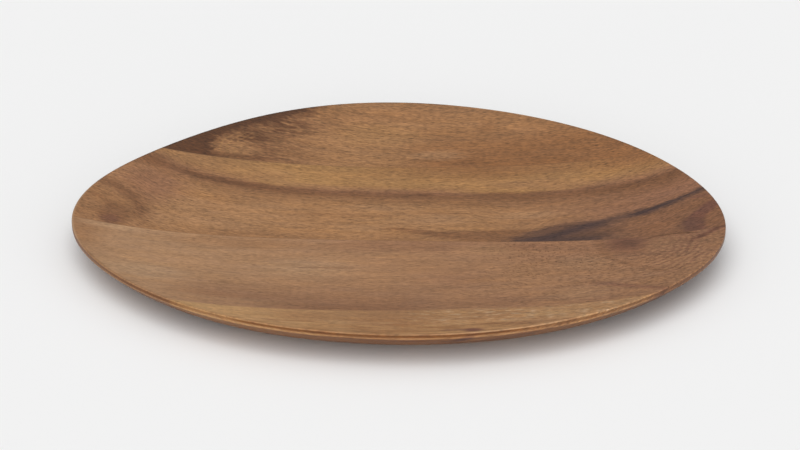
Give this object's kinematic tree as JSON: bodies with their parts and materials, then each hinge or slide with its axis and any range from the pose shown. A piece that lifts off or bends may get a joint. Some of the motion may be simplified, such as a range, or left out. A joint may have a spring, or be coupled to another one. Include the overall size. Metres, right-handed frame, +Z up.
{
  "type": "wooden plate",
  "caption": "Shallow oval wooden serving plate with a softly waved, hand-shaped outline, a smooth dished top and a flat foot.",
  "frame": {"origin": "on the table under the middle of the plate's length and width", "axes": "+X along the grain and the plate's length, +Y across it to the back, +Z up out of the dish"},
  "size_m": [0.3, 0.23, 0.0165],
  "materials": {
    "wood": "oiled hardwood, satin, brown with darker streaks along the grain"
  },
  "bodies": {
    "root": {"plate": "wood"}
  },
  "joints": []
}
